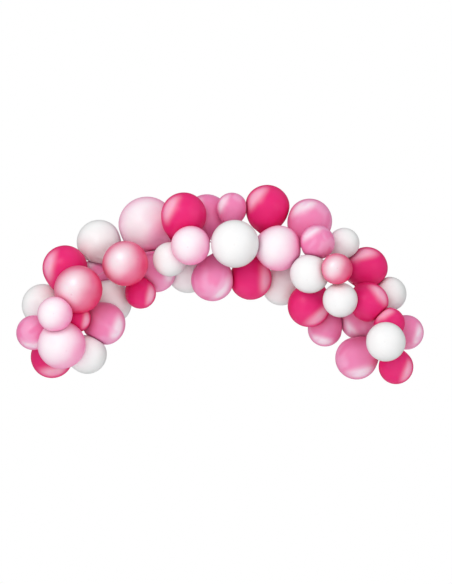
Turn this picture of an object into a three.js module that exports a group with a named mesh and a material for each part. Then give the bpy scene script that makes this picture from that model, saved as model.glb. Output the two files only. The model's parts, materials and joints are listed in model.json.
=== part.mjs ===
// A balloon garland: air-filled latex balloons of many sizes, tied and pressed together
// round a flat clear strip that is bent into an arch and hung from its middle.
// Millimetres, +X to the right, +Y away from the viewer, +Z up.
// The origin is the middle of the strip's upper face, at the top of the arch.
import * as THREE from 'three';

// The arch of the strip, half an ellipse
const ARCH_HALF_SPAN = 935;
const ARCH_RISE = 605;

// The strip
const STRIP_WIDTH = 24;
const STRIP_THICKNESS = 1.5;
const STRIP_FACETS = 61; // an odd number, so that a flat facet lies level at the top
const HOLE_PITCH = 28;
const FREE_END = 50; // bare strip at each end, for fastening
const FREE_MIDDLE = 30; // bare strip to each side of the hanging point

// Balloon widths, from the air put into them
const JUMBO = 315;
const LARGE = 262;
const FULL = 248;
const MEDIUM = 234;
const MIDDLING = 214;
const SMALL = 190;
const MINI = 170;
const TINY = 150;

// A balloon's tied end
const NECK_RADIUS = 4.5;
const KNOT_RADIUS = 6;
const KNOT_SHOULDER = 0.5; // from the knot's middle back to its widest ring, in the knot's radii
const KNOT_END = 0.8; // from the knot's middle to its end, in the knot's radii
const TAPER_END = 1.32; // where the body has narrowed to its neck, in radii from its middle
const NECK_START = 4; // from the end of the taper to the first ring of the neck
const SHORT_NECK = 22; // from the end of the taper to the knot of a balloon stuck to its neighbours
const EASY_NECK = 34; // the length of neck that a balloon is tied with where it can be
const NECK_STRETCH = 75; // the most that a neck is drawn out to reach its hole

// Clearances
const GAP = 0.6; // between pieces that touch
const STRIP_CLEARANCE = 5; // between a balloon's body and the strip
const BODY_PRESS = 0.2; // how deep two bodies may press into each other, in the smaller one's radii
const TAPER_PRESS = 0.03; // the same for a body and another balloon's taper or neck
const LEAST_PRESS = 0.1; // how deep a balloon that isn't tied is pressed at least, in its own radii

// Layers of balloons, from the viewer's side to the back
const LAYER_DEPTH = 55;
const MIDDLE_LAYER = 5.5;

// How the balloons settle
const SETTLE_ROUNDS = 400;
const SETTLE_STEP = 0.4; // the share of each overlap that one round takes away
const FACE_GIVE = 0.5; // a balloon gives half as readily across the view as in depth
const HOME_PULL = 0.1; // back to its place across the view
const DEPTH_PULL = 0.03; // back to its layer
const SLIDE = 0.3; // the share of a neck's misfit that one round takes away
const LEAST_GIVE = 0.5; // keeps a push on two knots, which can't move, from growing without limit
const NEAR = 2.2; // balloons further apart than this many times their radii never meet
const FACE_SEAT = 50; // a knot sits on a face of the strip up to this many degrees off square to it
const TURN_LOSS = 0.7; // how a parting plane's search is narrowed after a turn that didn't help
const ROUGH_SEARCH = { rounds: 4, turn: 0.2 };
const FINE_SEARCH = { rounds: 60, turn: 0.1 };
const SEAT_ROUNDS = 3;
const PRESS_ROUNDS = 12;

// A balloon's outline: rings round its crown, in degrees from the top, and rings of its taper,
// each as its radius and its distance below the middle, in the body's radii
const SIDES = 12;
const CROWN_RINGS = [0, 29, 58, 87, 115];
const TAPER_RINGS = [[0.6, 0.9], [0.2, 1.19]];

// The balls that a balloon's form fits round: each one's distance below the middle and its
// radius, in the body's radii. More of them follow along the neck.
const BODY_BALLS = [[0, 1], [0.53, 0.69], [0.95, 0.3], [1.18, 0.12]];
const NECK_BALLS = 4;

// Latex colours
const HOT_PINK = { name: 'hot_pink', color: 0xe83077, roughness: 0.3 };
const ROSE_PEARL = { name: 'rose_pearl', color: 0xec7fa6, roughness: 0.25 };
const BUBBLEGUM = { name: 'bubblegum_pink', color: 0xf08db8, roughness: 0.35 };
const BLUSH = { name: 'blush_pink', color: 0xfcdcea, roughness: 0.35 };
const WHITE = { name: 'white', color: 0xf3f3f3, roughness: 0.35 };
const CLEAR_STRIP = { name: 'clear', color: 0xe8eef0, roughness: 0.15 };

// Every balloon from the left end to the right: latex, width, degrees round the arch,
// millimetres out from the strip, and layer, counted from the front.
const BALLOONS = [
  [HOT_PINK, MEDIUM, -3, 0, 8.5],
  [WHITE, MIDDLING, 0, -205, 2.8],
  [BLUSH, LARGE, 6, -77, 1.5],
  [BUBBLEGUM, SMALL, 8, 60, 3.8],
  [BLUSH, SMALL, 19, 5, 0.3],
  [WHITE, MEDIUM, 19.5, 115, 8],
  [HOT_PINK, TINY, 24, -105, 3],
  [BUBBLEGUM, MEDIUM, 30, -222, 4.5],
  [ROSE_PEARL, LARGE, 34, -8, 2],
  [HOT_PINK, FULL, 36, 120, 6],
  [WHITE, FULL, 41, -138, 7.5],
  [BUBBLEGUM, SMALL, 43.5, 9, 8],
  [WHITE, FULL, 50, 150, 8.5],
  [ROSE_PEARL, FULL, 56, -18, 2.5],
  [HOT_PINK, MINI, 57, -195, 6],
  [BUBBLEGUM, MEDIUM, 66, -108, 7.5],
  [BLUSH, JUMBO, 67, 152, 7.5],
  [WHITE, SMALL, 73, -51, 3.5],
  [WHITE, MEDIUM, 77, -150, 8],
  [HOT_PINK, FULL, 79, 145, 4.5],
  [BLUSH, MIDDLING, 80, -14, 2],
  [BUBBLEGUM, FULL, 86, 145, 8],
  [BUBBLEGUM, MEDIUM, 87, -208, 4.5],
  [BUBBLEGUM, MINI, 93.5, 188, 6],
  [WHITE, LARGE, 95, -11, 1.5],
  [HOT_PINK, MEDIUM, 102, -190, 5.5],
  [HOT_PINK, FULL, 104, 213, 6.5],
  [BLUSH, FULL, 110, 0, 3],
  [WHITE, MIDDLING, 115, -194, 7.5],
  [BUBBLEGUM, FULL, 117.5, 194, 6],
  [BUBBLEGUM, SMALL, 122, 91, 2.3],
  [WHITE, MIDDLING, 124, -75, 1.4],
  [HOT_PINK, MEDIUM, 130, -238, 4.5],
  [WHITE, MINI, 130.5, 158, 6],
  [ROSE_PEARL, MINI, 132, 5, 0.5],
  [BUBBLEGUM, SMALL, 147, -290, 6.5],
  [WHITE, SMALL, 141.5, -117, 1.5],
  [HOT_PINK, MEDIUM, 142, 114, 7],
  [BUBBLEGUM, MIDDLING, 156, -130, 6.5],
  [HOT_PINK, MIDDLING, 153, -16, 3.4],
  [WHITE, SMALL, 155, 110, 7.5],
  [HOT_PINK, MINI, 165, 8, 2.2],
  [BUBBLEGUM, SMALL, 172, 104, 6.5],
  [WHITE, MIDDLING, 173, -30, 0.7],
  [BUBBLEGUM, MEDIUM, 186, -181, 5.5],
  [HOT_PINK, SMALL, 186.5, 32, 4.5],
];

const radians = THREE.MathUtils.degToRad;

function archPoint(degrees) {
  const top = ARCH_RISE * Math.cos(radians(90 / STRIP_FACETS));
  return new THREE.Vector3(
    -ARCH_HALF_SPAN * Math.cos(radians(degrees)), 0, ARCH_RISE * Math.sin(radians(degrees)) - top);
}

// The way out from the arch at an angle round it
function archOut(degrees) {
  return new THREE.Vector3(
    -ARCH_RISE * Math.cos(radians(degrees)), 0, ARCH_HALF_SPAN * Math.sin(radians(degrees))).normalize();
}

// The strip's upper face as a chain of flat facets
const corners = [];
for (let i = 0; i <= STRIP_FACETS; i++) corners.push(archPoint((180 * i) / STRIP_FACETS));
const stripLine = corners.flatMap((corner, i) => (
  i ? [corner.clone().add(corners[i - 1]).divideScalar(2), corner] : [corner]));

function stripGeometry() {
  const inner = corners.map((corner, i) => {
    const before = corners[Math.max(i - 1, 0)];
    const after = corners[Math.min(i + 1, STRIP_FACETS)];
    const along = after.clone().sub(before).normalize();
    return new THREE.Vector3(corner.x + along.z * STRIP_THICKNESS, 0, corner.z - along.x * STRIP_THICKNESS);
  });
  const outline = [...corners, ...inner.reverse()].map((p) => new THREE.Vector2(p.x, p.z));
  const geometry = new THREE.ExtrudeGeometry(new THREE.Shape(outline), {
    depth: STRIP_WIDTH, bevelEnabled: false, steps: 1,
  });
  return geometry.translate(0, 0, -STRIP_WIDTH / 2).rotateX(Math.PI / 2);
}

// The strip's holes: the place of each one, the way along and the way out
function stripHoles() {
  const holes = [];
  const lengths = [0];
  for (let i = 0; i < STRIP_FACETS; i++) lengths.push(lengths[i] + corners[i].distanceTo(corners[i + 1]));
  const whole = lengths[STRIP_FACETS];
  const count = Math.floor((whole / 2 - FREE_MIDDLE - FREE_END) / HOLE_PITCH);
  for (const side of [-1, 1]) {
    for (let k = 0; k <= count; k++) {
      const at = whole / 2 + side * (FREE_MIDDLE + k * HOLE_PITCH);
      const i = Math.min(lengths.findIndex((length) => length > at), STRIP_FACETS) - 1;
      const along = corners[i + 1].clone().sub(corners[i]).normalize();
      const point = corners[i].clone().addScaledVector(along, at - lengths[i]);
      holes.push({ point, along, out: new THREE.Vector3(-along.z, 0, along.x), taken: false });
    }
  }
  return holes;
}

// How far a knot reaches past its middle, down to the face that it sits on. Its neck leaves that
// face at an angle of which this is the sine.
function knotReach(sine) {
  return KNOT_RADIUS * Math.max(KNOT_END * sine, Math.sqrt(1 - sine ** 2) - KNOT_SHOULDER * sine);
}

// Where a knot sits at a hole: on the strip's upper or lower face, or at one of its edges
function knotSeat(hole, middle) {
  const away = middle.clone().sub(hole.point);
  const up = away.dot(hole.out);
  const face = hole.point.clone().addScaledVector(hole.out, -STRIP_THICKNESS / 2);
  const out = hole.out.clone().multiplyScalar(Math.sign(up));
  if (Math.abs(away.y) > Math.tan(radians(FACE_SEAT)) * Math.abs(up)) {
    out.set(0, Math.sign(away.y), 0);
    face.addScaledVector(out, STRIP_WIDTH / 2);
  } else {
    face.addScaledVector(out, STRIP_THICKNESS / 2);
  }
  const seat = face.clone();
  for (let i = 0; i < SEAT_ROUNDS; i++) {
    const sine = middle.clone().sub(seat).normalize().dot(out);
    seat.copy(face).addScaledVector(out, GAP + knotReach(sine));
  }
  return seat;
}

function balls(balloon) {
  const { middle, knot, radius } = balloon;
  const axis = knot.clone().sub(middle);
  const length = axis.length();
  axis.divideScalar(length);
  const chain = BODY_BALLS.map(([at, size]) => ({ at: (at * radius) / length, radius: size * radius }));
  const taper = (TAPER_END * radius) / length;
  for (let i = 0; i < NECK_BALLS; i++) {
    chain.push({ at: taper + ((1 - taper) * i) / NECK_BALLS, radius: NECK_RADIUS });
  }
  chain.push({ at: 1, radius: KNOT_RADIUS });
  for (const ball of chain) ball.place = middle.clone().addScaledVector(axis, ball.at * length);
  return chain;
}

// The plane that parts two chains best: its normal, from a to b, and how far each chain reaches
function parting(a, b, start, { rounds, turn }) {
  const normal = start.clone();
  let best = { space: -Infinity };
  for (let i = 0; i < rounds; i++) {
    let high = -Infinity;
    let low = Infinity;
    let front;
    let back;
    for (const ball of a) {
      const reach = ball.place.dot(normal) + ball.radius;
      if (reach > high) [high, front] = [reach, ball];
    }
    for (const ball of b) {
      const reach = ball.place.dot(normal) - ball.radius;
      if (reach < low) [low, back] = [reach, ball];
    }
    if (low - high > best.space) best = { space: low - high, normal: normal.clone(), front, back, high, low };
    else turn *= TURN_LOSS;
    normal.copy(best.normal).addScaledVector(
      best.back.place.clone().sub(best.front.place).normalize(), turn).normalize();
  }
  return best;
}

// Lets the balloons find their places: pressed together, clear of the strip, near where they show
function settle(balloons) {
  const pairs = [];
  balloons.forEach((a, i) => {
    for (const b of balloons.slice(i + 1)) {
      if (a.middle.distanceTo(b.middle) < NEAR * (a.radius + b.radius) + NECK_STRETCH) {
        pairs.push({ a, b, normal: b.middle.clone().sub(a.middle).normalize() });
      }
    }
  });
  for (let round = 0; round < SETTLE_ROUNDS; round++) {
    for (const balloon of balloons) {
      balloon.balls = balls(balloon);
      balloon.shift = new THREE.Vector3();
      balloon.closest = { space: Infinity };
    }
    for (const pair of pairs) {
      const { a, b } = pair;
      const plane = parting(a.balls, b.balls, pair.normal, ROUGH_SEARCH);
      const { space, normal } = plane;
      pair.normal = normal;
      if (space < a.closest.space) a.closest = { space, way: normal };
      if (space < b.closest.space) b.closest = { space, way: normal.clone().negate() };
      const bodies = plane.front.at === 0 && plane.back.at === 0;
      const press = (bodies ? BODY_PRESS : TAPER_PRESS) * Math.min(a.radius, b.radius);
      const push = -press - space;
      if (push <= 0) continue;
      const give = 1 - plane.front.at;
      const take = 1 - plane.back.at;
      const share = push / Math.max(give + take, LEAST_GIVE);
      a.shift.addScaledVector(normal, -share * give);
      b.shift.addScaledVector(normal, share * take);
    }
    for (const balloon of balloons) {
      const { middle, shift, home, closest } = balloon;
      const loose = balloon.hole ? 0 : closest.space + LEAST_PRESS * balloon.radius;
      if (loose > 0) middle.addScaledVector(closest.way, SETTLE_STEP * loose);
      middle.x += SETTLE_STEP * shift.x * FACE_GIVE;
      middle.z += SETTLE_STEP * shift.z * FACE_GIVE;
      middle.y += SETTLE_STEP * shift.y;
      middle.x += HOME_PULL * (home.x - middle.x);
      middle.z += HOME_PULL * (home.z - middle.z);
      middle.y += DEPTH_PULL * (home.y - middle.y);
      keepOffStrip(balloon);
      placeKnot(balloon);
    }
  }
  return pairs;
}

// Only the neck and knot of a tied balloon may come near the strip
function keepOffStrip(balloon) {
  for (const ball of balloon.balls) {
    if (balloon.hole && ball.radius <= KNOT_RADIUS) continue;
    const away = ball.place.clone().sub(nearest(stripLine, ball.place));
    const distance = away.length();
    const room = ball.radius + STRIP_WIDTH / 2 + STRIP_CLEARANCE;
    if (distance < room) balloon.middle.addScaledVector(away, (room - distance) / distance);
  }
}

// A tied balloon keeps a neck of a real length, and a stuck one turns its knot to the strip
function placeKnot(balloon) {
  const { middle, hole, radius } = balloon;
  const taper = TAPER_END * radius;
  if (!hole) {
    const inward = nearest(stripLine, middle).clone().sub(middle).setLength(taper + SHORT_NECK);
    balloon.knot = middle.clone().add(inward);
    return;
  }
  balloon.knot = knotSeat(hole, middle);
  const away = middle.clone().sub(balloon.knot);
  const distance = away.length();
  const kept = THREE.MathUtils.clamp(distance, taper + SHORT_NECK, taper + NECK_STRETCH);
  middle.addScaledVector(away, (SLIDE * (kept - distance)) / distance);
}

function nearest(points, target) {
  return points.reduce((a, b) => (b.distanceToSquared(target) < a.distanceToSquared(target) ? b : a));
}

// Ties every balloon to the free hole that suits its neck best, the best suited balloons first.
// One too far from the strip for its neck is stuck to its neighbours instead.
function tie(balloons, holes) {
  const waiting = [...balloons];
  while (waiting.length) {
    let best = { misfit: Infinity };
    for (const balloon of waiting) {
      const wanted = TAPER_END * balloon.radius + EASY_NECK;
      for (const hole of holes) {
        const misfit = Math.abs(balloon.middle.distanceTo(hole.point) - wanted);
        if (!hole.taken && misfit < best.misfit) best = { misfit, balloon, hole };
      }
    }
    const { balloon, hole } = best;
    waiting.splice(waiting.indexOf(balloon), 1);
    if (best.misfit < NECK_STRETCH - EASY_NECK) {
      hole.taken = true;
      balloon.hole = hole;
    }
    placeKnot(balloon);
  }
}

// A balloon's outline from its crown to its knot, for a length from its middle to its knot
function outline(radius, length) {
  const crown = CROWN_RINGS.map((degrees) => (
    [Math.sin(radians(degrees)) * radius, Math.cos(radians(degrees)) * radius]));
  const taper = TAPER_RINGS.map(([across, down]) => [across * radius, -down * radius]);
  const tail = [
    [NECK_RADIUS, -TAPER_END * radius - NECK_START],
    [KNOT_RADIUS, KNOT_RADIUS * KNOT_SHOULDER - length],
    [0, -KNOT_RADIUS * KNOT_END - length],
  ];
  return [...crown, ...taper, ...tail].map(([across, up]) => new THREE.Vector2(across, up)).reverse();
}

function balloonGeometry(balloon) {
  const axis = balloon.middle.clone().sub(balloon.knot);
  const geometry = new THREE.LatheGeometry(outline(balloon.radius, axis.length()), SIDES);
  geometry.applyQuaternion(new THREE.Quaternion().setFromUnitVectors(
    new THREE.Vector3(0, 1, 0), axis.normalize()));
  geometry.translate(...balloon.middle);
  const place = geometry.attributes.position;
  const vertex = new THREE.Vector3();
  for (let i = 0; i < place.count; i++) {
    vertex.fromBufferAttribute(place, i);
    for (let round = 0; round < PRESS_ROUNDS; round++) {
      for (const flat of balloon.flats) {
        const over = vertex.dot(flat.normal) - flat.limit;
        if (over > 0) vertex.addScaledVector(flat.normal, -over);
      }
    }
    place.setXYZ(i, ...vertex);
  }
  return geometry;
}

// The flats where neighbours are pressed together, or pass each other closely
function press(pairs) {
  for (const { a, b, normal } of pairs) {
    const plane = parting(a.balls, b.balls, normal, FINE_SEARCH);
    if (plane.space > 2 * GAP) continue;
    const between = (plane.high + plane.low) / 2;
    a.flats.push({ normal: plane.normal, limit: between - GAP / 2 });
    b.flats.push({ normal: plane.normal.clone().negate(), limit: -between - GAP / 2 });
  }
}

const balloons = BALLOONS.map(([latex, width, degrees, out, layer]) => {
  const home = archPoint(degrees).addScaledVector(archOut(degrees), out);
  home.y = (layer - MIDDLE_LAYER) * LAYER_DEPTH;
  return { latex, radius: width / 2, home, middle: home.clone(), flats: [] };
});
tie(balloons, stripHoles());
const pairs = settle(balloons);
for (const balloon of balloons) balloon.balls = balls(balloon);
press(pairs);

function material({ color, roughness }) {
  return new THREE.MeshStandardMaterial({ color, roughness, metalness: 0 });
}

const garland = new THREE.Group();
const strip = new THREE.Mesh(stripGeometry(), material(CLEAR_STRIP));
strip.name = 'decorating_strip';
garland.add(strip);
const counts = new Map();
for (const balloon of balloons) {
  const count = (counts.get(balloon.latex) ?? 0) + 1;
  counts.set(balloon.latex, count);
  const mesh = new THREE.Mesh(balloonGeometry(balloon), material(balloon.latex));
  mesh.name = `${balloon.latex.name}_balloon_${String(count).padStart(2, '0')}`;
  garland.add(mesh);
}

export default garland;
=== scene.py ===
"""A balloon garland: latex balloons pressed together round a clear strip bent into an arch.

Every balloon takes its middle, size and knot from its CAD node. Metres, +Z up, viewed along +Y.
"""

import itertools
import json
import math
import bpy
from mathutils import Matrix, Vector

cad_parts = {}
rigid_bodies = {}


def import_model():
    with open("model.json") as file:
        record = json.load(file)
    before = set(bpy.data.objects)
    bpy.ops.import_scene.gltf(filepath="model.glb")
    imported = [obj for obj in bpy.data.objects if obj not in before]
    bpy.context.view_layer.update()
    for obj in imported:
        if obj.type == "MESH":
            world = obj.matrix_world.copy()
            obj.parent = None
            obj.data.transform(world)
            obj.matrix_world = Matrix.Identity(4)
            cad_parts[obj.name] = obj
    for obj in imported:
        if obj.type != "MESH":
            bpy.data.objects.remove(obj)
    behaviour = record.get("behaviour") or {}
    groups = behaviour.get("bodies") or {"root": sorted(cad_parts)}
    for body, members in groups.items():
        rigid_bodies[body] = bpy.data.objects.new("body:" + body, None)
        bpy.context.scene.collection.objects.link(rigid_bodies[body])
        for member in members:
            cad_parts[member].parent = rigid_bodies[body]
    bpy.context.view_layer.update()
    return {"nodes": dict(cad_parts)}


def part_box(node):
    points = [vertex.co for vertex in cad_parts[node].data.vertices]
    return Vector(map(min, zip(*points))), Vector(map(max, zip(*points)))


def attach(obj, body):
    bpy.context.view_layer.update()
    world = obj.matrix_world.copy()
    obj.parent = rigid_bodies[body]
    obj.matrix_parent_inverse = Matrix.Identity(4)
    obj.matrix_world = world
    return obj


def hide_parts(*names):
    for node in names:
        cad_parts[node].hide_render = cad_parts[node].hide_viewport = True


bl_info = {
    "name": "Balloon Garland",
    "version": (1, 0, 0),
    "blender": (4, 5, 0),
    "location": "3D View > Sidebar > Garland",
    "description": "Builds an arched garland of pressed latex balloons on a clear strip",
    "category": "Add Mesh",
}

import bmesh
import bpy
import numpy as np
from bpy.props import FloatProperty, FloatVectorProperty, IntProperty, PointerProperty
from mathutils import Vector
from mathutils.bvhtree import BVHTree

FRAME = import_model()
STRIP_NODE = "decorating_strip"
BODY = "root"
MM = 0.001

# The balls that a balloon's form fits round: distance below its middle and radius, in its own radii
BODY_BALLS = ((0.0, 1.0), (0.53, 0.69), (0.95, 0.3), (1.18, 0.12))
TAPER_END = 1.32  # how far below its middle the taper ends, in its radii
NECK_BALLS = 4
NECK_START = 4 * MM  # from the end of the taper to the neck proper
NODE_NECK_RADIUS = 4.5 * MM
NODE_KNOT_RADIUS = 6 * MM
NODE_KNOT_END = 4.8 * MM  # from a knot's middle to the end of its CAD node

# The search for the ball that a balloon's body is a part of
BALL_TRIES = 3000
BALL_SEED = 5
BALL_TOLERANCE = 0.02 * MM
LEAST_DETERMINANT = 1e-5  # four points that nearly lie in one plane give no ball

# The search for the plane that parts two balloons
SEARCH_ROUNDS = 90
SEARCH_TURN = 0.3
TURN_LOSS = 0.75
PARTING_REACH = 10 * MM  # balloons further apart than this need no plane

# How balloons press together, and how their tails lie on the strip
PRESS_GAP = 0.6 * MM  # between balloons that touch
PRESS_ROUNDS = 12
CONTACT_SHADE_REACH = 9 * MM  # how far round a flat the painted contact shade reaches
TAIL_BEND = 0.3 * MM  # how softly the thin neck bends round a flat
TAIL_BEND_START = 1.3  # from this many radii below its middle, a balloon bends as its neck does
TAIL_BEND_RUN = 0.6  # the length above that over which its bend changes, in radii
SEAT_REACH = 3 * MM  # a knot that is nearer to the strip than this sits on it
SEAT_GAP = 0.1 * MM
SEATED_TAIL = 9 * MM  # from a knot's middle up to where its tail begins to keep off the strip

# Each balloon has a painted highlight: a pale patch painted into its colour, leaning off the front to one
# side
FRONT = np.array((0.0, -1.0, 0.0))
PAINTED_HIGHLIGHT_STRETCH = 1.8  # how much longer than wide the painted highlight grows as it leans off the front

# A balloon's outline down to its neck, in its radii, with slopes in degrees off straight down
CROWN_ANGLES = (0.7, 1.4, 2.2, 3.2, 4.6, 6.5, 9, 12, 15.5)
ROUND_STEP = 4.15  # degrees
ROUND_END = 115  # degrees from the crown to the taper
TAPER_POINTS = ((0.6, 0.9, 43), (0.2, 1.19, 52))  # across, down and slope
TAPER_STEPS = 8
NECK_SLOPE = 4
NECK_RINGS = 11

# The outlines of the knot and the lip: across in its own radii, and up from the knot's middle in millimetres
KNOT_TOP = 5 * MM
KNOT_POINTS = ((0.78, 4.2), (0.96, 2.9), (1.0, 1.6), (0.95, 0.4), (0.78, -0.5), (0.55, -1.1), (0.5, -1.6),
               (0.6, -2.3), (0.78, -3.0))
LIP_POINTS = ((0.6, -3.4), (0.3, -3.1))
ROLL_DROP = 3.9 * MM  # from the knot's middle down to the middle of the lip's roll
ROLL_ANGLES = range(120, -181, -50)  # degrees
LIP_HOLLOW = 0.1 * MM  # how far the middle of the lip is set in

# Two slow waves make a body uneven: how many fit round it, how fast they run down it, and the second's share
BODY_WAVE, BODY_WAVE_RUN = 2, 1.7
CROSS_WAVE, CROSS_WAVE_RUN, CROSS_WAVE_SHARE = 3, 2.3, 0.5
SEED_STEP = 1.7  # from one balloon's waves to the next one's

# The neck's folds, which twist at the knot, and the lumps that the knot itself has
FOLDS = ((0.05, 7, 3, 1.0), (0.035, 11, -1, 2.2))  # height, how many, and how seed and twist turn them
FOLD_START = 0.95  # how far below the middle the folds begin, in radii
FOLD_RUN = 0.35  # the length over which they deepen
TWIST_START = 6 * MM  # over the knot's middle
TWIST = 260  # radians a metre
LUMP, LUMPS = 0.12, 2  # height and how many
KNOT_SPAN = (-5 * MM, 1 * MM)  # where the lumps are, down from the knot's middle

# The marks on the latex
LATEX_GROUP = "Stretched Latex"
PAINTED_HIGHLIGHT_DRIFT = 0.22  # how far the painted highlight strays from an even form
PAINTED_SHADE_FULL = 1.05  # the painted highlight value from which the painted shade's colour is full
STREAK_STRETCH = (1.5, 1.5, 0.45)
TAIL_RUN = 0.5  # the length over which the tail's colour comes in, in radii
CROWN_DEPTH = 0.16  # share of the tail's colour at the crown dot
CONTACT_SHADE_DEPTH = 0.12  # and share of the tail's colour as painted shade where balloons press together
DARKEST_MOTTLE = 0.975
CLOUD_ROUGHNESS = 0.08
POWDER_ROUGHNESS = 0.03
TAIL_ROUGHNESS = 0.12
PULL_STRETCH = (26.0, 26.0, 2.0)
PORE_HEIGHT = 0.06
SWELL_HEIGHT = 0.3

# The marks on the clear strip
LINE_STRETCH = (12.0, 900.0)
SCRATCHED = 0xDDE6EA
SCRATCH_SHARE = 0.35
SCRATCH_ROUGHNESS = 0.18
HAZE_ROUGHNESS = 0.16

# The strip
ARCH_STEPS = 4000
CORNER_STEPS = 3  # points round a hole between the middle of a side and a corner of its cell
TINY = 1e-9
MERGE_DISTANCE = 0.01 * MM
EDGE_RADIUS = 0.3 * MM
EDGE_STEPS = 2
LEAST_EDGE = 50  # degrees between faces whose edge is rounded

# The stage, from the hanging point
FLOOR_SIDES = 96
LIGHT_TARGET = (0.0, 0.0, -0.25)
KEY_PLACE, KEY_WIDTH = (-2.9, -4.6, 3.2), 2.6
FILL_PLACE, FILL_WIDTH = (4.2, -3.4, 0.8), 3.0
FRONT_PLACE, FRONT_WIDTH = (-0.6, -8.8, -0.3), 3.0
VIEW_END = 100.0


def srgb(code):
    """A hex colour as linear red, green and blue."""
    channels = ((code >> shift & 255) / 255 for shift in (16, 8, 0))
    return tuple(c / 12.92 if c <= 0.04045 else ((c + 0.055) / 1.055) ** 2.4 for c in channels)


def length_property(name, description, default):
    return FloatProperty(name=name, description=description, default=default, min=0.0, unit="LENGTH",
                         precision=4)


def colour_property(name, description, code):
    return FloatVectorProperty(name=name, description=description, default=srgb(code), min=0.0, max=1.0,
                               size=3, subtype="COLOR")


class GarlandBalloonSettings(bpy.types.PropertyGroup):
    """Sizes that all balloons share"""

    sides: IntProperty(name="Sides", description="Faces round a balloon", default=64, min=24, max=96)
    contact_bend: length_property("Contact Bend", "How softly latex bends round the rim of a flat", 5 * MM)
    crown_dot: length_property("Crown Dot", "Radius of the thick dot at the crown", 5.5 * MM)
    crown_dot_height: length_property("Crown Dot Height", "How far the crown dot stands proud", 0.7 * MM)
    neck_radius: length_property("Neck Radius", "Radius of the neck where it meets the knot", 3.3 * MM)
    knot_radius: length_property("Knot Radius", "Radius of the tied knot", 5.9 * MM)
    lip_radius: length_property("Lip Radius", "Radius of the rolled lip under the knot", 6.6 * MM)
    lip_bead: length_property("Lip Bead", "Radius of the roll round the lip", 0.9 * MM)
    unevenness: FloatProperty(name="Unevenness", default=0.006, min=0.0, max=0.05,
                              description="How far a body departs from round, in its radii")


class GarlandLatexSettings(bpy.types.PropertyGroup):
    """Colours of the latex"""

    hot_pink: colour_property("Hot Pink", "Body of a hot pink balloon", 0xEE3183)
    bubblegum: colour_property("Bubblegum", "Body of a bubblegum pink balloon", 0xF493C0)
    blush: colour_property("Blush", "Body of a blush pink balloon", 0xFBCDE1)
    rose: colour_property("Rose Pearl", "Body of a pearly rose balloon", 0xEE89A9)
    white: colour_property("White", "Body of a white balloon", 0xF8F8F8)


class GarlandStripSettings(bpy.types.PropertyGroup):
    """The clear strip that the balloons are tied to"""

    thickness: length_property("Thickness", "Thickness of the strip", 1.5 * MM)
    hole_pitch: length_property("Hole Pitch", "Distance from one knot hole to the next", 28 * MM)
    knot_hole: length_property("Knot Hole", "Radius of the holes that knots are pulled through", 4.6 * MM)
    small_hole: length_property("Small Hole", "Radius of the small holes between them", 2 * MM)
    free_middle: length_property("Free Middle", "Bare strip to each side of the hanging point", 30 * MM)
    free_end: length_property("Free End", "Bare strip at each end", 50 * MM)
    tint: colour_property("Tint", "Colour of the clear plastic", 0xF3F7F8)


class GarlandStageSettings(bpy.types.PropertyGroup):
    """Floor, light and camera"""

    floor_drop: length_property("Floor Drop", "Height of the hanging point over the floor", 2.3)
    floor_radius: length_property("Floor Radius", "Radius of the floor", 4.3)
    floor: colour_property("Floor", "Colour of the floor", 0xFAFAFA)
    key_power: FloatProperty(name="Key Light", description="Power of the large light up on the left",
                             default=85.0, min=0.0, unit="POWER")
    fill_power: FloatProperty(name="Fill Light", description="Power of the light on the right",
                              default=16.0, min=0.0, unit="POWER")
    front_power: FloatProperty(name="Front Light", description="Power of the far light beside the camera",
                               default=115.0, min=0.0, unit="POWER")
    sky: FloatProperty(name="Sky", description="Brightness of the surroundings as matt surfaces see them",
                       default=0.71, min=0.0)
    sky_gloss: FloatProperty(name="Sky in Reflections",
                             description="Brightness of the surroundings in reflections",
                             default=0.3, min=0.0)
    lens: FloatProperty(name="Lens", description="Focal length of the camera", default=200.0, min=1.0,
                        unit="CAMERA")
    camera_distance: length_property("Camera Distance", "From the camera to the hanging point", 17.85)
    camera_right: length_property("Camera Right", "How far right of the hanging point the camera is", 0.033)
    camera_drop: length_property("Camera Drop", "How far under the hanging point the camera is", 0.275)


# Reading the frame


def node_points(name):
    mesh = FRAME["nodes"][name].data
    points = np.empty(len(mesh.vertices) * 3, np.float32)
    mesh.vertices.foreach_get("co", points)
    return np.unique(points.reshape(-1, 3), axis=0).astype(float)


def find_ball(points):
    """Middle and radius of the ball that most of the points lie on, from tries with four of them each."""
    picks = points[np.random.default_rng(BALL_SEED).integers(len(points), size=(BALL_TRIES, 4))]
    rows = np.concatenate([2 * picks, np.ones((BALL_TRIES, 4, 1))], axis=2)
    sound = np.abs(np.linalg.det(rows)) > LEAST_DETERMINANT
    solved = np.linalg.solve(rows[sound], (picks[sound] ** 2).sum(2)[..., None])[..., 0]
    middles = solved[:, :3]
    radii = np.sqrt(solved[:, 3] + (middles ** 2).sum(1))
    misfits = np.abs(np.linalg.norm(points - middles[:, None], axis=2) - radii[:, None])
    best = (misfits < BALL_TOLERANCE).sum(1).argmax()
    return middles[best], radii[best]


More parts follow.
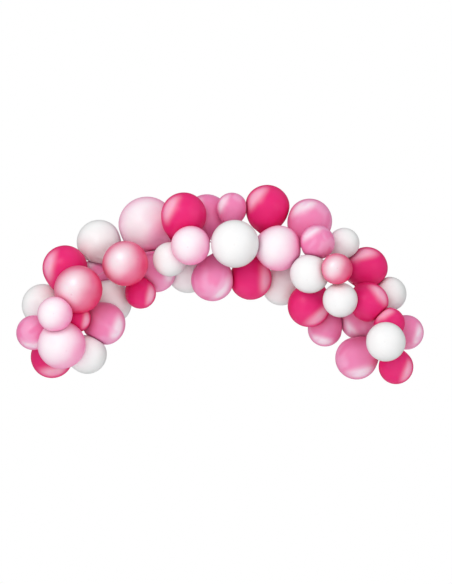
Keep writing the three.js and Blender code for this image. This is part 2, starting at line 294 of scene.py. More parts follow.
class Balloon:
    """A balloon's measures, taken from its CAD node. Its ball is the node's round body without its flats."""

    def __init__(self, name, number):
        self.name = name
        self.seed = SEED_STEP * number
        points = node_points(name)
        self.middle, self.radius = find_ball(points)
        spokes = points - self.middle
        tip = spokes[np.argmax(np.linalg.norm(spokes, axis=1))]
        reach = np.linalg.norm(tip)
        self.down = tip / reach
        self.length = reach - NODE_KNOT_END
        self.flats = []
        self.seat = None
        self.balls = self.ball_chain()

    def at(self, distance):
        return self.middle + self.down * distance

    def ball_chain(self):
        """Places and radii of balls that fill the balloon from its body to its knot."""
        chain = [(at * self.radius, size * self.radius) for at, size in BODY_BALLS]
        taper = TAPER_END * self.radius
        for i in range(NECK_BALLS):
            chain.append((taper + (self.length - taper) * i / NECK_BALLS, NODE_NECK_RADIUS))
        chain.append((self.length, NODE_KNOT_RADIUS))
        return np.array([self.at(at) for at, _ in chain]), np.array([size for _, size in chain])


def parting_plane(a, b):
    """The plane that parts two balloons best.

    Gives the space, the normal from a to b, how far each reaches, and the way between their nearest balls.
    """
    normal = b.middle - a.middle
    normal /= np.linalg.norm(normal)
    turn = SEARCH_TURN
    best = None
    for _ in range(SEARCH_ROUNDS):
        high = a.balls[0] @ normal + a.balls[1]
        low = b.balls[0] @ normal - b.balls[1]
        front, back = high.argmax(), low.argmin()
        space = low[back] - high[front]
        if best is None or space > best[0]:
            best = (space, normal, high[front], low[back], b.balls[0][back] - a.balls[0][front])
        else:
            turn *= TURN_LOSS
        way = best[4]
        normal = best[1] + turn * way / np.linalg.norm(way)
        normal /= np.linalg.norm(normal)
    return best


def part_balloons(balloons):
    """Gives each balloon the flats where its neighbours press on it."""
    for i, a in enumerate(balloons):
        for b in balloons[i + 1:]:
            reach = a.length + b.length
            if np.linalg.norm(a.middle - b.middle) > reach:
                continue
            space, normal, high, low, _ = parting_plane(a, b)
            if space < PARTING_REACH:
                between = (high + low) / 2
                a.flats.append((normal, between - PRESS_GAP / 2))
                b.flats.append((-normal, -between - PRESS_GAP / 2))


def lay_on_strip(balloons):
    """The face of the strip that a tied balloon's knot sits on is one more flat, for its tail alone."""
    mesh = FRAME["nodes"][STRIP_NODE].data
    tree = BVHTree.FromPolygons([v.co for v in mesh.vertices], [tuple(p.vertices) for p in mesh.polygons])
    for balloon in balloons:
        place, normal, _, distance = tree.find_nearest(Vector(balloon.at(balloon.length)))
        if distance < NODE_KNOT_RADIUS + SEAT_REACH:
            normal = np.array(normal)
            balloon.seat = (-normal, -normal @ np.array(place) - SEAT_GAP)


def read_balloons():
    names = sorted(name for name in FRAME["nodes"] if name != STRIP_NODE)
    balloons = [Balloon(name, number) for number, name in enumerate(names, 1)]
    part_balloons(balloons)
    lay_on_strip(balloons)
    return {balloon.name: balloon for balloon in balloons}


BALLOONS = read_balloons()


# Balloon meshes


def hermite(start, end, slopes, steps):
    """Points of a smooth curve after its start, for slopes in degrees off straight down."""
    start, end = np.array(start), np.array(end)
    reach = np.linalg.norm(end - start)
    ways = [reach * np.array((-math.sin(math.radians(s)), -math.cos(math.radians(s)))) for s in slopes]
    for i in range(1, steps + 1):
        t = i / steps
        yield ((2 * t ** 3 - 3 * t ** 2 + 1) * start + (t ** 3 - 2 * t ** 2 + t) * ways[0]
               + (3 * t ** 2 - 2 * t ** 3) * end + (t ** 3 - t ** 2) * ways[1])


def balloon_outline(balloon, sizes):
    """A balloon's outline from under its crown to its lip: across and up from its middle."""
    radius, length = balloon.radius, balloon.length
    outline = []
    steps = np.arange(CROWN_ANGLES[-1] + ROUND_STEP, ROUND_END + 1, ROUND_STEP)
    for degrees in (*CROWN_ANGLES, *steps):
        across, up = math.sin(math.radians(degrees)), math.cos(math.radians(degrees))
        dot = sizes.crown_dot_height * math.exp(-(across * radius / sizes.crown_dot) ** 4)
        outline.append((across * radius, up * radius + dot))
    end = math.radians(steps[-1])
    bends = [(math.sin(end) * radius, math.cos(end) * radius, steps[-1] - 90)]
    bends += [(across * radius, -down * radius, slope) for across, down, slope in TAPER_POINTS]
    neck_top = -TAPER_END * radius - NECK_START
    bends.append((NODE_NECK_RADIUS, neck_top, NECK_SLOPE))
    for (x0, y0, slope0), (x1, y1, slope1) in zip(bends, bends[1:]):
        outline += [tuple(p) for p in hermite((x0, y0), (x1, y1), (slope0, slope1), TAPER_STEPS)]
    knot_top = KNOT_TOP - length
    for i in range(1, NECK_RINGS + 1):
        t = i / NECK_RINGS
        outline.append((NODE_NECK_RADIUS + t * (sizes.neck_radius - NODE_NECK_RADIUS),
                        neck_top + t * (knot_top - neck_top)))
    return outline + knot_outline(sizes, length)


def knot_outline(sizes, length):
    """The knot's bulge, the pinch under it, the lip's rolled edge and the lip's inside."""
    knot, lip, bead = sizes.knot_radius, sizes.lip_radius, sizes.lip_bead
    rows = [(across * knot, up * MM - length) for across, up in KNOT_POINTS]
    for degrees in ROLL_ANGLES:
        a = math.radians(degrees)
        rows.append((lip - bead + bead * math.cos(a), -ROLL_DROP - length + bead * math.sin(a)))
    return rows + [(across * lip, up * MM - length) for across, up in LIP_POINTS]


def ring_waver(balloon, sizes, across, up, turns):
    """A ring's distance across at each turn: a little uneven on the body, creased on the neck and knot."""
    seed = balloon.seed
    drop = -up / balloon.radius
    wave = np.sin(BODY_WAVE * turns + seed) * math.sin(BODY_WAVE_RUN * drop + seed)
    cross = np.cos(CROSS_WAVE * turns - 2 * seed) * math.cos(CROSS_WAVE_RUN * drop + 2 * seed)
    body = sizes.unevenness * (wave + CROSS_WAVE_SHARE * cross)
    creased = min(max((drop - FOLD_START) / FOLD_RUN, 0.0), 1.0)
    past_knot = -up - balloon.length
    twist = TWIST * max(past_knot + TWIST_START, 0.0)
    folds = sum(height * np.cos(count * turns + shift * seed + share * twist)
                for height, count, shift, share in FOLDS)
    lump = 0.0
    if KNOT_SPAN[0] < past_knot < KNOT_SPAN[1]:
        lump = LUMP * np.cos(LUMPS * turns + seed + 2 * twist)
    return across * (1 + body * (1 - creased) + creased * folds + lump)


def body_bend(balloon, ups, sizes):
    """How softly each point gives way to a flat: the body widely, the thin neck hardly."""
    drop = -ups / balloon.radius
    share = np.clip((TAIL_BEND_START - drop) / TAIL_BEND_RUN, 0.0, 1.0)
    return TAIL_BEND + (sizes.contact_bend - TAIL_BEND) * share


def press(points, flats, bend):
    """Points pushed back from the flats, and how near each one lies to a flat, which sets the painted contact
    shade.
    """
    moved = points.copy()
    contact = np.zeros(len(points))
    for normal, limit in flats:
        room = limit - points @ normal
        kept = bend * np.logaddexp(0.0, room / bend)
        moved -= np.outer(kept - room, normal)
        # The painted contact shade: strongest on a flat, fading away from it
        contact = np.maximum(contact, np.exp(-(kept / CONTACT_SHADE_REACH) ** 2))
    for _ in range(PRESS_ROUNDS):
        for normal, limit in flats:
            over = np.maximum(moved @ normal - limit, 0.0)
            moved -= np.outer(over, normal)
    return moved, contact


def painted_highlight_values(ways, turn, lean):
    """How far each way from a balloon's middle is from the middle of its painted highlight: 0 there, 1 at a
    right angle to it.

    The middle of the painted highlight leans off the garland's front. turn is the side that it leans to, up
    from the right.
    """
    edge = np.array((math.cos(turn), 0.0, math.sin(turn)))
    palest = math.cos(lean) * FRONT + math.sin(lean) * edge
    outward = math.cos(lean) * edge - math.sin(lean) * FRONT
    aside = np.cross(palest, outward) / (1 + PAINTED_HIGHLIGHT_STRETCH * math.sin(lean))
    off = np.hypot(ways @ outward, ways @ aside)
    return np.arctan2(off, ways @ palest) / (math.pi / 2)


def lathe_faces(rings, sides):
    """Faces of rings that are closed by a point at each end."""
    first, last = rings * sides, rings * sides + 1
    faces = []
    for j in range(sides):
        k = (j + 1) % sides
        faces.append((first, j, k))
        for i in range(rings - 1):
            a, b = i * sides, (i + 1) * sides
            faces.append((a + j, b + j, b + k, a + k))
        end = (rings - 1) * sides
        faces.append((end + j, last, end + k))
    return faces


def new_object(name, points, faces, material, smooth=True):
    mesh = bpy.data.meshes.new(name)
    mesh.from_pydata(np.asarray(points, float).tolist(), [], faces)
    mesh.polygons.foreach_set("use_smooth", [smooth] * len(mesh.polygons))
    mesh.materials.append(material)
    mesh.update()
    obj = bpy.data.objects.new(name, mesh)
    bpy.context.scene.collection.objects.link(obj)
    return obj


def add_attribute(mesh, name, kind, field, values):
    layer = mesh.attributes.new(name, kind, "POINT")
    layer.data.foreach_set(field, np.ascontiguousarray(values, np.float32).ravel())


def build_balloon(balloon, material, sizes, painted_highlight_way):
    """One balloon. Its latex reads each point's place on the round body, its painted highlight and its
    nearness to a flat, which sets a painted shade.
    """
    sides = sizes.sides
    outline = balloon_outline(balloon, sizes)
    turns = np.arange(sides) * math.tau / sides
    local = []
    for across, up in outline:
        wide = ring_waver(balloon, sizes, across, up, turns)
        local.append(np.c_[wide * np.cos(turns), wide * np.sin(turns), np.full(sides, up)])
    crown = (0.0, 0.0, balloon.radius + sizes.crown_dot_height)
    end = (0.0, 0.0, outline[-1][1] + LIP_HOLLOW)
    local = np.concatenate([*local, np.array([crown, end])])
    turned = np.array(Vector((0, 0, 1)).rotation_difference(Vector(-balloon.down)).to_matrix())
    spokes = local @ turned.T
    points = spokes + balloon.middle
    points, contact = press(points, balloon.flats, body_bend(balloon, local[:, 2], sizes))
    if balloon.seat:
        tail = -local[:, 2] > balloon.length - SEATED_TAIL
        normal, limit = balloon.seat
        over = np.where(tail, np.maximum(points @ normal - limit, 0.0), 0.0)
        points -= np.outer(over, normal)
    obj = new_object(f"{balloon.name}_latex", points, lathe_faces(len(outline), sides), material)
    ways = spokes / np.linalg.norm(spokes, axis=1, keepdims=True)
    add_attribute(obj.data, "place", "FLOAT_VECTOR", "vector", local / balloon.radius)
    # Masks for the painted highlight and for the painted shade where balloons press together
    add_attribute(obj.data, "glow", "FLOAT", "value", painted_highlight_values(ways, *painted_highlight_way))
    add_attribute(obj.data, "contact", "FLOAT", "value", contact)
    return obj


# Shader nodes


class Nodes:
    """Adds nodes to a tree and links them in one go."""

    def __init__(self, tree):
        self.tree = tree

    def add(self, kind, settings=None, **inputs):
        """A new node. An input goes by its name, with _ for a space, or by i and its number."""
        node = self.tree.nodes.new(kind)
        for key, value in (settings or {}).items():
            setattr(node, key, value)
        for key, value in inputs.items():
            numbered = key[0] == "i" and key[1:].isdigit()
            self.feed(node.inputs[int(key[1:]) if numbered else key.replace("_", " ")], value)
        return node

    def feed(self, socket, value):
        if isinstance(value, bpy.types.NodeSocket):
            self.tree.links.new(value, socket)
        else:
            socket.default_value = value

    def attribute(self, name, output="Fac"):
        return self.add("ShaderNodeAttribute", {"attribute_name": name}).outputs[output]

    def math(self, operation, a, b=0.0, clamp=False):
        return self.add("ShaderNodeMath", {"operation": operation, "use_clamp": clamp}, i0=a, i1=b).outputs[0]

    def times(self, a, b):
        return self.math("MULTIPLY", a, b)

    def plus(self, a, b, clamp=False):
        return self.math("ADD", a, b, clamp)

    def swing(self, noise, width):
        """A noise as a swing of that width, half of it to each side of 0."""
        return self.times(self.math("SUBTRACT", noise, 0.5), width)

    def stretched(self, parts, scales):
        """A vector of the parts, each times its own scale."""
        scaled = [self.times(part, scale) for part, scale in zip(parts, scales)]
        return self.add("ShaderNodeCombineXYZ", **dict(zip("XYZ", scaled))).outputs[0]

    def smooth(self, value, low, high, to_low=0.0, to_high=1.0):
        node = self.add("ShaderNodeMapRange", {"interpolation_type": "SMOOTHSTEP"}, Value=value, From_Min=low,
                        From_Max=high, To_Min=to_low, To_Max=to_high)
        return node.outputs["Result"]

    def mix(self, share, a, b, blend="MIX"):
        """Two colours mixed. The numbers are those of the colour sockets of a Mix node."""
        node = self.add("ShaderNodeMix", {"data_type": "RGBA", "blend_type": blend}, i0=share, i6=a, i7=b)
        return node.outputs[2]

    def noise(self, vector, scale, detail=2.0, roughness=0.5, distortion=0.0):
        return self.add("ShaderNodeTexNoise", Vector=vector, Scale=scale, Detail=detail, Roughness=roughness,
                        Distortion=distortion).outputs["Fac"]


def rgba(colour):
    return (*colour, 1.0)


def latex_sockets(group):
    """The latex group's colours and numbers, with the numbers' defaults, and what it puts out."""
    # The colours include a painted highlight and a painted shade on the side away from it
    numbers = {"Glow Core": 0.0, "Glow Reach": 0.6, "Glow Falloff": 1.0, "Glow Strength": 1.0,
               "Edge Start": 0.6, "Edge Strength": 1.0, "Tail Start": 0.7, "Band Strength": 0.1,
               "Gloss": 0.36}
    colour, number = "NodeSocketColor", "NodeSocketFloat"
    for name in ("Body", "Glow", "Edge", "Tail", "Sheen Bands"):
        group.interface.new_socket(name, in_out="INPUT", socket_type=colour)
    for name, value in numbers.items():
        group.interface.new_socket(name, in_out="INPUT", socket_type=number).default_value = value
    for name, kind in (("Color", colour), ("Roughness", number), ("Height", number)):
        group.interface.new_socket(name, in_out="OUTPUT", socket_type=kind)


def latex_group():
    """Colour, roughness and relief of stretched latex, from a point's place on its balloon; the colour holds
    a painted highlight, painted shade and painted sheen bands.
    """
    group = bpy.data.node_groups.new(LATEX_GROUP, "ShaderNodeTree")
    latex_sockets(group)
    nodes = Nodes(group)
    given = nodes.add("NodeGroupInput").outputs
    place = nodes.attribute("place", "Vector")
    glow = nodes.attribute("glow")
    contact = nodes.attribute("contact")
    across_x, across_y, up = nodes.add("ShaderNodeSeparateXYZ", Vector=place).outputs
    drop = nodes.times(up, -1.0)

    drift = nodes.swing(nodes.noise(place, scale=1.3, detail=1.0), PAINTED_HIGHLIGHT_DRIFT)
    glow = nodes.plus(glow, nodes.times(drift, nodes.smooth(glow, low=0.1, high=0.6)))
    # Painted shade: the colour deepens towards the side away from the painted highlight
    edge = nodes.smooth(glow, given["Edge Start"], PAINTED_SHADE_FULL)
    colour = nodes.mix(nodes.times(edge, given["Edge Strength"]), given["Body"], given["Edge"])
    # Painted highlight: the colour pales towards the middle of the painted patch
    pale = nodes.smooth(glow, given["Glow Reach"], given["Glow Core"])
    pale = nodes.math("POWER", pale, given["Glow Falloff"])
    colour = nodes.mix(nodes.times(pale, given["Glow Strength"]), colour, given["Glow"])

    # Painted sheen: lighter bands along the body, fading out towards the neck
    streak_place = nodes.stretched((across_x, across_y, up), STREAK_STRETCH)
    painted_sheen = nodes.noise(streak_place, scale=1.0, detail=1.0, roughness=0.4, distortion=0.3)
    painted_sheen = nodes.smooth(painted_sheen, low=0.42, high=0.64)
    painted_sheen = nodes.times(painted_sheen, nodes.smooth(up, low=-0.9, high=0.3))
    colour = nodes.mix(nodes.times(painted_sheen, given["Band Strength"]), colour, given["Sheen Bands"])

    tail = nodes.smooth(drop, given["Tail Start"], nodes.plus(given["Tail Start"], TAIL_RUN))
    middle = nodes.add("ShaderNodeCombineXYZ", X=across_x, Y=across_y).outputs[0]
    off_crown = nodes.add("ShaderNodeVectorMath", {"operation": "LENGTH"}, i0=middle).outputs["Value"]
    dot = nodes.times(nodes.smooth(off_crown, low=0.055, high=0.03), nodes.smooth(up, low=0.7, high=0.8))
    # Painted shade where balloons press together, in the tail's colour; the tail and crown dot are thicker
    # latex
    painted_contact_share = nodes.times(contact, CONTACT_SHADE_DEPTH)
    thick_latex_and_contact_shade = nodes.math("MAXIMUM", nodes.math("MAXIMUM", tail, nodes.times(dot, CROWN_DEPTH)), painted_contact_share)
    colour = nodes.mix(thick_latex_and_contact_shade, colour, given["Tail"])
    mottle = nodes.noise(place, scale=2.1, detail=3.0)
    mottle = nodes.smooth(mottle, low=0.25, high=0.75, to_low=DARKEST_MOTTLE)
    shade = nodes.add("ShaderNodeCombineColor", Red=mottle, Green=mottle, Blue=mottle).outputs[0]
    colour = nodes.mix(1.0, colour, shade, "MULTIPLY")

    cloud = nodes.noise(place, scale=3.1, detail=3.0, roughness=0.6)
    powder = nodes.smooth(nodes.noise(place, scale=38.0, detail=2.0, roughness=0.7), low=0.55, high=0.8)
    rough = nodes.plus(given["Gloss"], nodes.swing(cloud, CLOUD_ROUGHNESS))
    rough = nodes.plus(rough, nodes.times(powder, POWDER_ROUGHNESS))
    rough = nodes.plus(rough, nodes.times(tail, TAIL_ROUGHNESS), clamp=True)

    pull_place = nodes.stretched((across_x, across_y, up), PULL_STRETCH)
    pull = nodes.noise(pull_place, scale=1.0, detail=2.0)
    pull = nodes.times(pull, nodes.smooth(drop, low=0.85, high=1.25))
    pores = nodes.times(nodes.noise(place, scale=120.0, detail=2.0, roughness=0.6), PORE_HEIGHT)
    swell = nodes.times(nodes.noise(place, scale=4.0, detail=1.0), SWELL_HEIGHT)
    height = nodes.plus(nodes.plus(pull, pores), swell)
    nodes.add("NodeGroupOutput", Color=colour, Roughness=rough, Height=height)
    return group


def new_material(name):
    material = bpy.data.materials.new(name)
    material.use_nodes = True
    nodes = Nodes(material.node_tree)
    material.node_tree.nodes.clear()
    return material, nodes


def latex_material(name, body, shades, looks, shell):
    """Latex of one colour. shades and looks are its values of the latex group, shell those of its surface."""
    group = bpy.data.node_groups.get(LATEX_GROUP) or latex_group()
    material, nodes = new_material(name)
    colours = {key: rgba(srgb(code)) for key, code in shades.items()}
    latex = nodes.add("ShaderNodeGroup", {"node_tree": group}, Body=rgba(body), **colours, **looks)
    bump = nodes.add("ShaderNodeBump", Height=latex.outputs["Height"], Strength=0.22, Distance=1.2 * MM)
    surface = nodes.add("ShaderNodeBsdfPrincipled", Base_Color=latex.outputs["Color"],
                        Roughness=latex.outputs["Roughness"], Normal=bump.outputs["Normal"], **shell)
    nodes.add("ShaderNodeOutputMaterial", Surface=surface.outputs["BSDF"])
    return material


def soft_shell(radii, rim):
    """Light that goes into the latex and comes out near by, and the deeper colour of its rim seen flat on."""
    return {"Subsurface Weight": 0.2, "Subsurface Radius": radii, "Subsurface Scale": 0.04, "IOR": 1.42,
            "Coat Weight": 1.0, "Coat IOR": 1.06, "Coat Roughness": 0.4, "Coat Tint": rgba(rim)}


def clear_plastic(tint):
    """Clear plastic sheet with faint scratches along it."""
    material, nodes = new_material("Clear Strip Plastic")
    place = nodes.attribute("lay", "Vector")
    along, across, _ = nodes.add("ShaderNodeSeparateXYZ", Vector=place).outputs
    line_place = nodes.stretched((along, across), LINE_STRETCH)
    scratches = nodes.noise(line_place, scale=1.0, detail=3.0, roughness=0.6)
    scratches = nodes.smooth(scratches, low=0.52, high=0.75)
    haze = nodes.noise(place, scale=30.0, detail=3.0, roughness=0.6)
    rough = nodes.plus(nodes.times(scratches, SCRATCH_ROUGHNESS), nodes.times(haze, HAZE_ROUGHNESS))
    colour = nodes.mix(nodes.times(scratches, SCRATCH_SHARE), rgba(tint), rgba(srgb(SCRATCHED)))
    bump = nodes.add("ShaderNodeBump", Height=scratches, Strength=0.15, Distance=0.2 * MM)
    surface = nodes.add("ShaderNodeBsdfPrincipled", Base_Color=colour, Roughness=rough,
                        Normal=bump.outputs["Normal"], IOR=1.49, Transmission_Weight=0.8)
    nodes.add("ShaderNodeOutputMaterial", Surface=surface.outputs["BSDF"])
    return material


# The strip


def hole_cell(start, end, half_width, radius):
    """One cell of the flat strip as two rings of points: its rectangle and its round hole."""
    middle, half = (start + end) / 2, (end - start) / 2
    corner = math.atan2(half_width, half)
    shares = [i / CORNER_STEPS for i in range(CORNER_STEPS)]
    quarter = [corner * share for share in shares]
    quarter += [corner + (math.pi / 2 - corner) * share for share in shares]
    angles = quarter + [math.pi - a for a in [math.pi / 2, *quarter[:0:-1]]]
    angles += [a + math.pi for a in angles]
    outer, inner = [], []
    for a in angles:
        x, y = math.cos(a), math.sin(a)
        grow = min(half / max(abs(x), TINY), half_width / max(abs(y), TINY))
        outer.append((middle + x * grow, y * grow))
        inner.append((middle + x * radius, y * radius))
    return outer, inner


def flat_strip(sizes, whole, width):
    """The strip before it is bent: a sheet with knot holes and small holes between them."""
    half_width = width / 2
    half_pitch = sizes.hole_pitch / 2
    count = int((whole / 2 - sizes.free_middle - sizes.free_end) / sizes.hole_pitch)
    points, faces = [], []

    def add_cell(start, end, radius):
        outer, inner = hole_cell(start, end, half_width, radius)
        base, many = len(points), len(outer)
        points.extend(outer + inner)
        for i in range(many):
            k = (i + 1) % many
            faces.append((base + i, base + k, base + many + k, base + many + i))

    def add_plain(start, end):
        rows = max(1, round((end - start) / half_pitch))
        for i in range(rows):
            a, b = (start + (end - start) * (i + n) / rows for n in (0, 1))
            base = len(points)
            points.extend([(a, -half_width), (b, -half_width), (b, 0), (a, 0)])
            points.extend([(b, half_width), (a, half_width)])
            faces.append((base, base + 1, base + 2, base + 3))
            faces.append((base + 3, base + 2, base + 4, base + 5))

    first = sizes.free_middle - half_pitch / 2
    add_plain(-first, first)
    for side in (-1, 1):
        for k in range(2 * count + 1):
            start = first + k * half_pitch
            radius = sizes.small_hole if k % 2 else sizes.knot_hole
            add_cell(*sorted((side * start, side * (start + half_pitch))), radius)
        last = first + (2 * count + 1) * half_pitch
        add_plain(*sorted((side * last, side * whole / 2)))
    return points, faces


def thicken(obj, thickness):
    """Gives a flat sheet its thickness and rounded edges."""
    sheet = bmesh.new()
    sheet.from_mesh(obj.data)
    bmesh.ops.remove_doubles(sheet, verts=sheet.verts, dist=MERGE_DISTANCE)
    sheet.to_mesh(obj.data)
    sheet.free()
    solid = obj.modifiers.new("Thickness", "SOLIDIFY")
    solid.thickness, solid.offset = thickness, -1.0
    edges = obj.modifiers.new("Edges", "BEVEL")
    edges.width, edges.segments = EDGE_RADIUS, EDGE_STEPS
    edges.limit_method, edges.angle_limit = "ANGLE", math.radians(LEAST_EDGE)
    shown = obj.evaluated_get(bpy.context.evaluated_depsgraph_get())
    mesh = bpy.data.meshes.new_from_object(shown)
    obj.modifiers.clear()
    old, obj.data = obj.data, mesh
    bpy.data.meshes.remove(old)


def build_strip(sizes, material):
    """The clear strip, cut flat, thickened and then bent into the arch of its CAD node."""
    low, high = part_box(STRIP_NODE)
    half_span, rise, width = high.x, high.z - low.z, high.y - low.y
    angles = np.linspace(0, math.pi, ARCH_STEPS + 1)
    arch = np.c_[-half_span * np.cos(angles), low.z + rise * np.sin(angles)]
    lengths = np.r_[0, np.cumsum(np.linalg.norm(np.diff(arch, axis=0), axis=1))]
    whole = lengths[-1]
    points, faces = flat_strip(sizes, whole, width)
    strip = new_object(f"{STRIP_NODE}_sheet", [(x, y, 0.0) for x, y in points], faces, material, smooth=False)
    thicken(strip, sizes.thickness)
    mesh = strip.data
    flat = np.array([v.co for v in mesh.vertices], float)
    at = np.clip(flat[:, 0] + whole / 2, 0, whole)
    angle = np.interp(at, lengths, angles)
    along = np.c_[half_span * np.sin(angle), rise * np.cos(angle)]
    along /= np.linalg.norm(along, axis=1, keepdims=True)
    out = np.c_[-along[:, 1], along[:, 0]]
    base = np.c_[-half_span * np.cos(angle), low.z + rise * np.sin(angle)]
    bent = base + out * flat[:, 2:3]
    mesh.vertices.foreach_set("co", np.c_[bent[:, 0], -flat[:, 1], bent[:, 1]].ravel())
    add_attribute(mesh, "lay", "FLOAT_VECTOR", "vector", flat)
    mesh.update()
    return strip


# Operators


class LatexOperator:
    """What the balloons of each colour share"""

    bl_options = {"REGISTER", "UNDO"}
    latex = ""  # what the names of these balloons' CAD nodes start with
    slot = ""
    painted_highlight_turns = (150,)  # the side of each balloon that its painted highlight is on, in degrees up from the right
    painted_highlight_lean = 20  # how far round from the front the painted highlight is, in degrees

    # Each colour sets here the colours of its painted highlight, painted shade and painted sheen bands
    def material(self, colours):
        raise NotImplementedError

    def execute(self, context):
        scene = context.scene
        material = self.material(scene.garland_latex)
        names = [name for name in BALLOONS if name.startswith(self.latex)]
        if not names:
            raise RuntimeError(f"the frame has no {self.latex} balloons")
        for name, turn in zip(names, itertools.cycle(self.painted_highlight_turns)):
            painted_highlight_way = math.radians(turn), math.radians(self.painted_highlight_lean)
            balloon = build_balloon(BALLOONS[name], material, scene.garland_balloons, painted_highlight_way)
            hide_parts(name)
            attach(balloon, BODY)
        return {"FINISHED"}


class GARLAND_OT_hot_pink(LatexOperator, bpy.types.Operator):
    """Blow up the hot pink balloons"""

    bl_idname = "garland.hot_pink"
    bl_label = "Hot Pink Balloons"
    latex = "hot_pink"
    slot = "hot_pink_latex"
    painted_highlight_turns = (280, 350, 170, 350, 155, 0, 140, 310, 105, 40, 120, 340)
    painted_highlight_lean = 47

    def material(self, colours):
        shades = {"Glow": 0xFFE4E2, "Edge": 0xD81D68, "Tail": 0xC31559, "Sheen Bands": 0xF2639A}
        looks = {"Glow Core": 0.07, "Glow Reach": 0.4, "Glow Falloff": 1.7, "Edge Start": 0.9,
                 "Edge Strength": 0.3, "Tail Start": 0.82, "Band Strength": 0.15, "Gloss": 0.36}
        shell = soft_shell(radii=(1.0, 0.15, 0.4), rim=(0.985, 0.66, 0.84))
        return latex_material("Hot Pink Latex", colours.hot_pink, shades, looks, shell)


class GARLAND_OT_bubblegum(LatexOperator, bpy.types.Operator):
    """Blow up the bubblegum pink balloons"""

    bl_idname = "garland.bubblegum"
    bl_label = "Bubblegum Pink Balloons"
    latex = "bubblegum_pink"
    slot = "bubblegum_pink_latex"
    painted_highlight_turns = (270, 340, 135, 355, 160, 320, 155, 115, 125, 255, 220, 345, 285)
    painted_highlight_lean = 47

    def material(self, colours):
        shades = {"Glow": 0xFFF8FC, "Edge": 0xE983B4, "Tail": 0xDB6FA3, "Sheen Bands": 0xF8BCDB}
        looks = {"Glow Core": 0.07, "Glow Reach": 0.4, "Glow Falloff": 1.7, "Edge Start": 0.7,
                 "Edge Strength": 0.5, "Tail Start": 0.8, "Band Strength": 0.7, "Gloss": 0.36}
        shell = soft_shell(radii=(1.0, 0.45, 0.6), rim=(0.985, 0.86, 0.93))
        return latex_material("Bubblegum Pink Latex", colours.bubblegum, shades, looks, shell)


class GARLAND_OT_blush(LatexOperator, bpy.types.Operator):
    """Blow up the blush pink balloons"""

    bl_idname = "garland.blush"
    bl_label = "Blush Pink Balloons"
    latex = "blush_pink"
    slot = "blush_pink_latex"

    def material(self, colours):
        shades = {"Glow": 0xFFFAFD, "Edge": 0xFD96C7, "Tail": 0xF0A6C8, "Sheen Bands": 0xFDEBF4}
        looks = {"Glow Core": 0.12, "Glow Reach": 0.72, "Edge Start": 0.42, "Tail Start": 0.6,
                 "Band Strength": 0.15, "Gloss": 0.38}
        shell = soft_shell(radii=(1.0, 0.7, 0.8), rim=(1.0, 0.95, 0.975))
        return latex_material("Blush Pink Latex", colours.blush, shades, looks, shell)


class GARLAND_OT_rose_pearl(LatexOperator, bpy.types.Operator):
    """Blow up the pearly rose balloons"""

    bl_idname = "garland.rose_pearl"
    bl_label = "Rose Pearl Balloons"
    latex = "rose_pearl"
    slot = "rose_pearl_latex"

    def material(self, colours):
        shades = {"Glow": 0xFFF9FA, "Edge": 0xEB216C, "Tail": 0xDD2C72, "Sheen Bands": 0xF9C3D3}
        looks = {"Glow Core": 0.06, "Glow Reach": 0.6, "Edge Start": 0.4, "Tail Start": 0.7,
                 "Band Strength": 0.1, "Gloss": 0.36}
        shell = {**soft_shell(radii=(1.0, 0.4, 0.5), rim=(1.0, 0.88, 0.93)), "Metallic": 0.1}
        return latex_material("Rose Pearl Latex", colours.rose, shades, looks, shell)


class GARLAND_OT_white(LatexOperator, bpy.types.Operator):
    """Blow up the white balloons"""

    bl_idname = "garland.white"
    bl_label = "White Balloons"
    latex = "white"
    slot = "white_latex"

    def material(self, colours):
        shades = {"Glow": 0xFFFFFF, "Edge": 0xE2E5E4, "Tail": 0xE6DEE0, "Sheen Bands": 0xFDFDFE}
        looks = {"Glow Core": 0.1, "Glow Reach": 0.8, "Glow Strength": 0.9, "Edge Start": 0.35,
                 "Tail Start": 0.6, "Band Strength": 0.3, "Gloss": 0.36}
        shell = soft_shell(radii=(1.0, 0.95, 0.92), rim=(0.975, 0.975, 0.975))
        return latex_material("White Latex", colours.white, shades, looks, shell)


class GARLAND_OT_strip(bpy.types.Operator):
    """Cut the clear strip and bend it into its arch"""

    bl_idname = "garland.strip"
    bl_label = "Decorating Strip"
    bl_options = {"REGISTER", "UNDO"}

    def execute(self, context):
        sizes = context.scene.garland_strip
        strip = build_strip(sizes, clear_plastic(sizes.tint))
        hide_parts(STRIP_NODE)
        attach(strip, BODY)
        return {"FINISHED"}


def add_area_light(name, place, width, power):
    light = bpy.data.lights.new(name, "AREA")
    light.shape, light.size, light.energy = "DISK", width, power
    lamp = bpy.data.objects.new(name, light)
    lamp.location = place
    lamp.rotation_euler = (Vector(LIGHT_TARGET) - Vector(place)).to_track_quat("-Z", "Y").to_euler()
    bpy.context.scene.collection.objects.link(lamp)
    return lamp


def white_surroundings(matt, gloss):
    """White to the camera and through clear things, softer for light that falls on the balloons."""
    world = bpy.data.worlds.new("Studio")
    world.use_nodes = True
    world.node_tree.nodes.clear()
    nodes = Nodes(world.node_tree)
    path = nodes.add("ShaderNodeLightPath").outputs
    strength = nodes.plus(nodes.times(path["Is Diffuse Ray"], matt - 1.0), 1.0)
    strength = nodes.plus(strength, nodes.times(path["Is Glossy Ray"], gloss - 1.0))
    background = nodes.add("ShaderNodeBackground", Color=(1.0, 1.0, 1.0, 1.0), Strength=strength)
    nodes.add("ShaderNodeOutputWorld", Surface=background.outputs[0])
    return world


def floor_material(colour):
    material, nodes = new_material("Studio Floor")
    surface = nodes.add("ShaderNodeBsdfPrincipled", Base_Color=rgba(colour), Roughness=0.9,
                        Specular_IOR_Level=0.1)
    nodes.add("ShaderNodeOutputMaterial", Surface=surface.outputs["BSDF"])
    return material


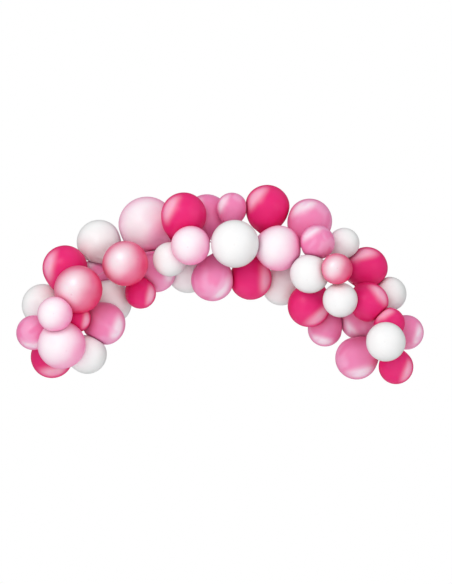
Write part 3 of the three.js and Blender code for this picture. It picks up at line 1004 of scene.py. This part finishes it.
def add_floor(stage):
    turns = np.arange(FLOOR_SIDES) * math.tau / FLOOR_SIDES
    radius = stage.floor_radius
    rim = [(radius * math.cos(a), radius * math.sin(a), -stage.floor_drop) for a in turns]
    floor = new_object("floor", rim, [tuple(range(FLOOR_SIDES))], floor_material(stage.floor), smooth=False)


def add_camera(stage):
    """A level camera that looks along +Y."""
    lens = bpy.data.cameras.new("camera")
    lens.lens = stage.lens
    lens.clip_end = VIEW_END
    camera = bpy.data.objects.new("camera", lens)
    camera.location = (stage.camera_right, -stage.camera_distance, -stage.camera_drop)
    camera.rotation_euler = (math.pi / 2, 0.0, 0.0)
    bpy.context.scene.collection.objects.link(camera)
    bpy.context.scene.camera = camera


class GARLAND_OT_stage(bpy.types.Operator):
    """Lay the floor, set the lights and place the camera"""

    bl_idname = "garland.stage"
    bl_label = "Floor, Lights and Camera"
    bl_options = {"REGISTER", "UNDO"}

    def execute(self, context):
        scene = context.scene
        stage = scene.garland_stage
        add_floor(stage)
        add_area_light("key_light", KEY_PLACE, KEY_WIDTH, stage.key_power)
        add_area_light("fill_light", FILL_PLACE, FILL_WIDTH, stage.fill_power)
        front_light = add_area_light("front_light", FRONT_PLACE, FRONT_WIDTH, stage.front_power)
        front_light.visible_glossy = False
        scene.world = white_surroundings(stage.sky, stage.sky_gloss)
        scene.view_settings.view_transform = "Standard"
        add_camera(stage)
        return {"FINISHED"}


class GARLAND_PT_panel(bpy.types.Panel):
    """Lists the garland's pieces"""

    bl_idname = "GARLAND_PT_panel"
    bl_label = "Balloon Garland"
    bl_space_type = "VIEW_3D"
    bl_region_type = "UI"
    bl_category = "Garland"

    def draw(self, context):
        for settings, operators in PIECES:
            box = self.layout.box()
            group = getattr(context.scene, settings)
            for name in group.__annotations__:
                box.prop(group, name)
            for operator in operators:
                box.operator(operator.bl_idname)


PIECES = (
    ("garland_strip", (GARLAND_OT_strip,)),
    ("garland_latex", (GARLAND_OT_hot_pink, GARLAND_OT_bubblegum, GARLAND_OT_blush, GARLAND_OT_rose_pearl,
                       GARLAND_OT_white)),
    ("garland_balloons", ()),
    ("garland_stage", (GARLAND_OT_stage,)),
)
SETTINGS = {
    "garland_balloons": GarlandBalloonSettings,
    "garland_latex": GarlandLatexSettings,
    "garland_strip": GarlandStripSettings,
    "garland_stage": GarlandStageSettings,
}
OPERATORS = tuple(operator for _, operators in PIECES for operator in operators)
CLASSES = (*SETTINGS.values(), *OPERATORS, GARLAND_PT_panel)


def register():
    for cls in CLASSES:
        bpy.utils.register_class(cls)
    for name, cls in SETTINGS.items():
        setattr(bpy.types.Scene, name, PointerProperty(type=cls))


def unregister():
    for name in SETTINGS:
        delattr(bpy.types.Scene, name)
    for cls in reversed(CLASSES):
        bpy.utils.unregister_class(cls)


def clear_default_scene():
    for obj in list(bpy.context.scene.objects):
        if obj.name in ("Cube", "Light", "Camera"):
            bpy.data.objects.remove(obj)


def main():
    clear_default_scene()
    register()
    for operator in OPERATORS:
        section, name = operator.bl_idname.split(".")
        getattr(getattr(bpy.ops, section), name)()


if __name__ == "__main__":
    main()
